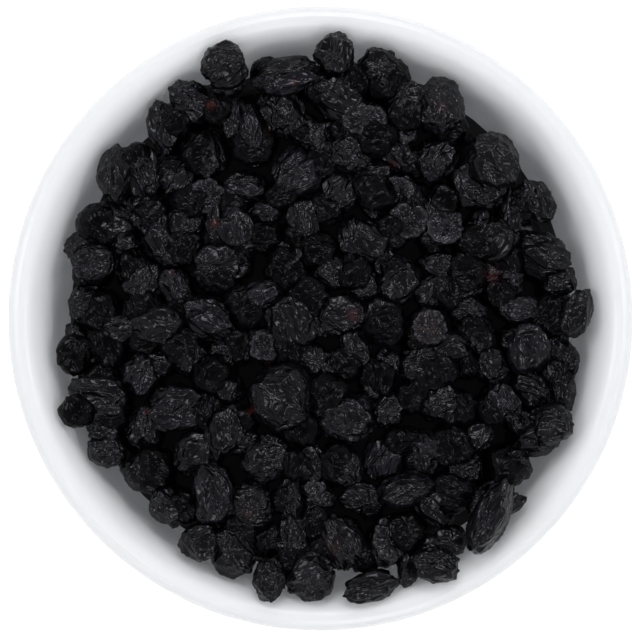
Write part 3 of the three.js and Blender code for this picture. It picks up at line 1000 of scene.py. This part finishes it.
# A floor that glows, so that it shows white without a hard shadow, with its size in metres
FLOOR_SIZE = 3
FLOOR_LOOK = {
    "Base Color": (0.6, 0.6, 0.6, 1), "Roughness": 0.8,
    "Emission Color": (1, 1, 1, 1), "Emission Strength": 0.52,
}

# The camera looks straight down, and fits the rim to where the photo has it, in pixels
CAMERA_HEIGHT = 0.75
PHOTO_SIZE = 640
RIM_RADIUS_IN_PHOTO = 312
RIM_CENTRE_IN_PHOTO = (320.5, 318.5)
SENSOR_WIDTH = 36

# The sky's strength by height, from 0 at the horizon to 1 straight above, and the most that its
# ramp could hold
SKY_COLOUR = (0.95, 0.97, 1, 1)
SKY_BANDS = [(0.0, 0.12), (0.3, 0.55), (0.55, 0.6), (0.68, 0.4), (0.84, 0.25), (1.0, 0.2)]
SKY_PEAK = 4

# The lamps' places and sizes in metres. Those overhead and far out at the sides light the bowl
# evenly but aren't mirrored in the skins, where the key and the side lamps make the glints.
LAMP_COLOUR = (0.98, 0.99, 1)
OVERHEAD_PLACE = (0, 0, 1.3)
OVERHEAD_SIZE = (0.6, 0.6)
OVERHEAD_POWER = 2.6
FAR_PLACES = [(0.9, 0, 0.24), (-0.9, 0, 0.24), (0, 0.9, 0.24), (0, -0.9, 0.24)]
FAR_SIZE = (0.9, 0.35)
FAR_POWER = 0.45
KEY_PLACE = (0, 0.66, 0.78)
KEY_SIZE = (0.36, 0.26)
KEY_POWER = 2.0
SIDE_PLACES = [(0.66, 0.1, 0.78), (-0.66, 0.1, 0.78), (0.1, -0.66, 0.78)]
SIDE_SIZE = (0.26, 0.26)
SIDE_POWER = 1.25


def pale_floor():
    mesh = bpy.data.meshes.new("floor")
    edge = FLOOR_SIZE / 2
    corners = [(-edge, -edge, 0), (edge, -edge, 0), (edge, edge, 0), (-edge, edge, 0)]
    mesh.from_pydata(corners, [], [(0, 1, 2, 3)])
    mesh.materials.append(Finish("floor", FLOOR_LOOK).material)
    floor = bpy.data.objects.new("floor", mesh)
    bpy.context.scene.collection.objects.link(floor)


# A rectangular lamp that faces the bowl
def softbox(name, place, size, power):
    light = bpy.data.lights.new(name, "AREA")
    light.shape = "RECTANGLE"
    light.size, light.size_y = size
    light.energy = power
    light.color = LAMP_COLOUR
    lamp = bpy.data.objects.new(name, light)
    lamp.location = place
    lamp.rotation_euler = (-lamp.location).to_track_quat("-Z", "Y").to_euler()
    bpy.context.scene.collection.objects.link(lamp)
    return lamp


# A sky that is brightest a third of the way up and dim straight above, as under a camera stand
def sky():
    world = bpy.data.worlds.new("studio")
    world.use_nodes = True
    tree = world.node_tree
    background = tree.nodes["Background"]
    background.inputs["Color"].default_value = SKY_COLOUR
    place = tree.nodes.new("ShaderNodeTexCoord")
    axes = tree.nodes.new("ShaderNodeSeparateXYZ")
    bands = tree.nodes.new("ShaderNodeValToRGB")
    # Each new stop starts in the middle and is then moved
    while len(bands.color_ramp.elements) < len(SKY_BANDS):
        bands.color_ramp.elements.new(0.5)
    for stop, (height, strength) in zip(bands.color_ramp.elements, SKY_BANDS):
        stop.position = height
        stop.color = shaded((1, 1, 1), strength / SKY_PEAK)
    scaled = tree.nodes.new("ShaderNodeMath")
    scaled.operation = "MULTIPLY"
    scaled.inputs[1].default_value = SKY_PEAK
    tree.links.new(place.outputs["Generated"], axes.inputs[0])
    tree.links.new(axes.outputs["Z"], bands.inputs[0])
    tree.links.new(bands.outputs[0], scaled.inputs[0])
    tree.links.new(scaled.outputs[0], background.inputs["Strength"])
    bpy.context.scene.world = world


def lamps():
    unmirrored = [softbox("overhead", OVERHEAD_PLACE, OVERHEAD_SIZE, OVERHEAD_POWER)]
    for number, place in enumerate(FAR_PLACES):
        unmirrored.append(softbox("low_%d" % number, place, FAR_SIZE, FAR_POWER))
    for lamp in unmirrored:
        lamp.visible_glossy = False
    softbox("key", KEY_PLACE, KEY_SIZE, KEY_POWER)
    for number, place in enumerate(SIDE_PLACES):
        softbox("side_%d" % number, place, SIDE_SIZE, SIDE_POWER)


def camera_above():
    millimetres_per_pixel = BOWL_DIAMETER / 2 / RIM_RADIUS_IN_PHOTO
    lens = bpy.data.cameras.new("camera")
    lens.sensor_width = SENSOR_WIDTH
    half_width = PHOTO_SIZE / 2 * millimetres_per_pixel * MM
    lens.lens = SENSOR_WIDTH / 2 * (CAMERA_HEIGHT - (BOWL_HEIGHT - LIP_RADIUS) * MM) / half_width
    camera = bpy.data.objects.new("camera", lens)
    across = (PHOTO_SIZE / 2 - RIM_CENTRE_IN_PHOTO[0]) * millimetres_per_pixel * MM
    up = (RIM_CENTRE_IN_PHOTO[1] - PHOTO_SIZE / 2) * millimetres_per_pixel * MM
    camera.location = (across, up, CAMERA_HEIGHT)
    bpy.context.scene.collection.objects.link(camera)
    bpy.context.scene.camera = camera


noise = Noise(DETAIL_SEED)
top_skin = dried_skin("berry_skin", 1, TOP_SHINE)
# The deep berries and the bed under them wear the skin at half its lightness, painted shade deep
# in the heap
shaded_deep_skin = dried_skin("shaded_deep_berry_skin", DEEP_SHADE_LIGHTNESS, DEEP_SHINE)
low, landmarks = heap_berries()
for place, berries in sorted_berries(landmarks):
    berry_piece("berries_top_" + place, berries, TOP_FINENESS, noise, top_skin)
for place, berries in sorted_berries(between_berries()):
    berry_piece("berries_between_" + place, berries, BETWEEN_FINENESS, noise, top_skin)
for place, berries in sorted_berries(low):
    berry_piece("berries_low_" + place, berries, LOW_FINENESS, noise, top_skin)
berry_piece("berries_deep", deep_berries(), DEEP_FINENESS, noise, shaded_deep_skin)
shade_bed_piece(shaded_deep_skin)
bowl_piece(white_glaze())
pale_floor()
sky()
lamps()
camera_above()
bpy.context.scene.view_settings.view_transform = "Standard"
